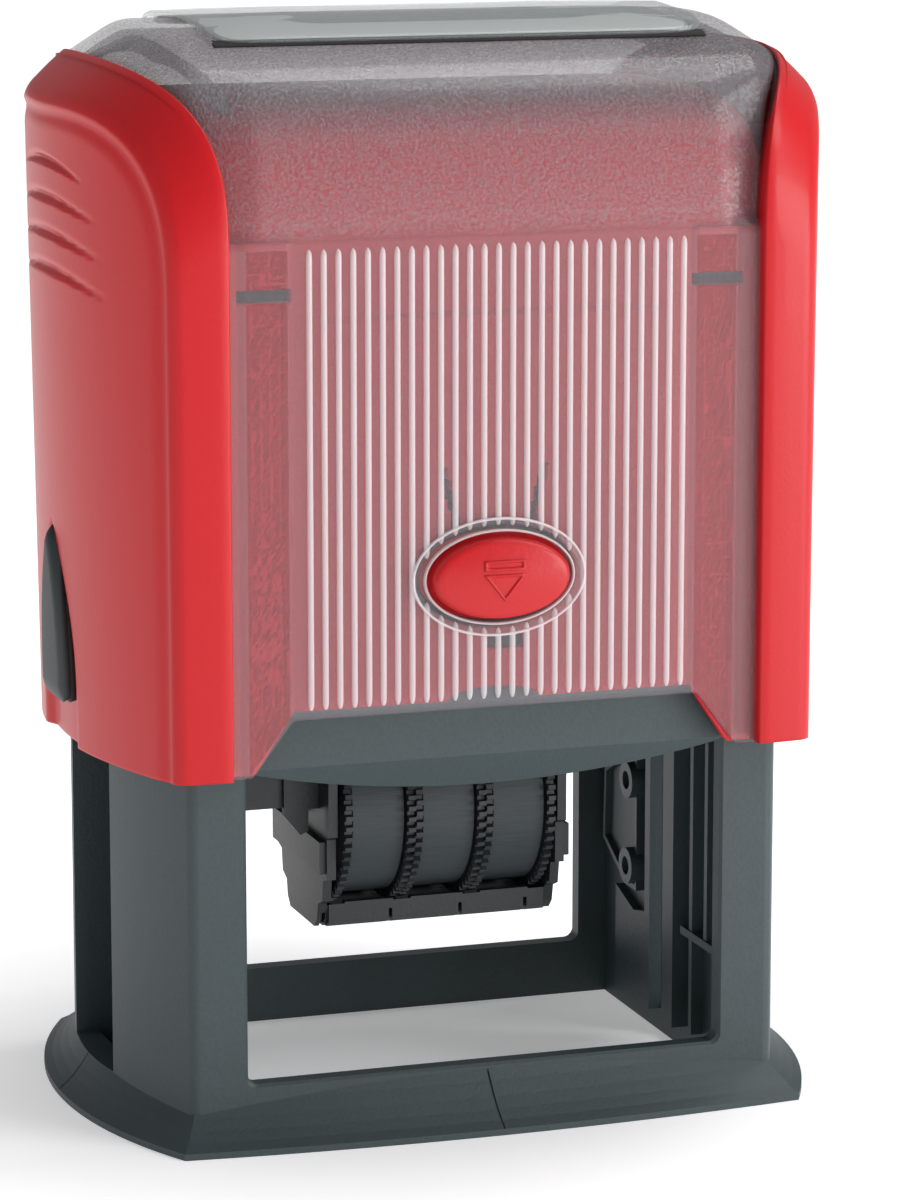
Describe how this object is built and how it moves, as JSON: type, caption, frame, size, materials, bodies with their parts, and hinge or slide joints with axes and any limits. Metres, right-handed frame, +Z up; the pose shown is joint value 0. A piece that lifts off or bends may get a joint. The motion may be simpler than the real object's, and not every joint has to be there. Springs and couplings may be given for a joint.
{
  "type": "rotary date stamp",
  "caption": "Self-inking rotary date stamp: pressing the casing flips a date unit with setting wheels from its ink pad to the paper.",
  "frame": {"origin": "middle of the foot's underside, on the paper plane", "axes": "+Z up along the press, +X to the right and -Y towards the user, who faces the lock button"},
  "size_m": [0.0828, 0.0574, 0.1161],
  "materials": {
    "base_plastic": "matte, fine grain",
    "cartridge_plastic": "satin",
    "ink_felt": "inked felt, matt",
    "casing_red": "satin to gloss",
    "insert_dark": "satin",
    "smoky_clear": "clear, lightly frosted",
    "label_card": "printed card, matt",
    "window_clear": "clear gloss",
    "button_red": "satin",
    "mechanism_black": "satin",
    "die_foam": "matt",
    "die_rubber": "matt",
    "axle_steel": "drawn",
    "spring_steel": "drawn",
    "wheel_black": "satin",
    "band_rubber": "matt"
  },
  "bodies": {
    "base": {"base_frame": "base_plastic", "return_spring_left": "spring_steel", "return_spring_right": "spring_steel"},
    "casing": {"casing_shell": "casing_red", "side_insert_left": "insert_dark", "side_insert_right": "insert_dark", "translucent_cover": "smoky_clear", "label_card": "label_card", "pivot_pin_left": "mechanism_black", "pivot_pin_right": "mechanism_black"},
    "label_cap": {"label_window": "window_clear"},
    "button": {"lock_button": "button_red", "lock_slider": "mechanism_black"},
    "cartridge": {"ink_pad_cartridge": "cartridge_plastic", "ink_pad_foam": "ink_felt"},
    "carrier": {"holder_plate": "mechanism_black", "die_tape": "die_foam", "text_die": "die_rubber", "date_unit_frame": "mechanism_black", "date_platen": "mechanism_black", "wheel_axle": "axle_steel", "day_band": "band_rubber", "month_band": "band_rubber", "year_band": "band_rubber"},
    "day": {"day_wheel": "wheel_black"},
    "month": {"month_wheel": "wheel_black"},
    "year": {"year_wheel": "wheel_black"}
  },
  "joints": [
    {"name": "casing_press", "type": "slide", "parent": "base", "child": "casing", "axis": [0, 0, -1], "range_m": [0, 0.0343], "stiffness_N_per_m": 300, "springref_m": -0.02, "deforming": ["return_spring_left", "return_spring_right"]},
    {"name": "carrier_flip", "type": "hinge", "parent": "casing", "child": "carrier", "pos_m": [0, 0, 0.0399], "axis": [1, 0, 0], "range_deg": [0, 180]},
    {"name": "lock_press", "type": "slide", "parent": "casing", "child": "button", "axis": [0, 1, 0], "range_m": [0, 0.0008], "stiffness_N_per_m": 500, "springref_m": -0.0008},
    {"name": "label_lift", "type": "slide", "parent": "casing", "child": "label_cap", "axis": [0, 0, 1], "range_m": [0, 0.01]},
    {"name": "pad_slide", "type": "slide", "parent": "base", "child": "cartridge", "axis": [0, -1, 0], "range_m": [-0.034, 0]},
    {"name": "day_spin", "type": "hinge", "parent": "carrier", "child": "day", "pos_m": [0, 0, 0.0305], "axis": [1, 0, 0], "continuous": true},
    {"name": "month_spin", "type": "hinge", "parent": "carrier", "child": "month", "pos_m": [0, 0, 0.0305], "axis": [1, 0, 0], "continuous": true},
    {"name": "year_spin", "type": "hinge", "parent": "carrier", "child": "year", "pos_m": [0, 0, 0.0305], "axis": [1, 0, 0], "continuous": true}
  ],
  "couplings": [
    {"joint": "carrier_flip", "follows": "casing_press", "rad_per_m": 91.59}
  ]
}
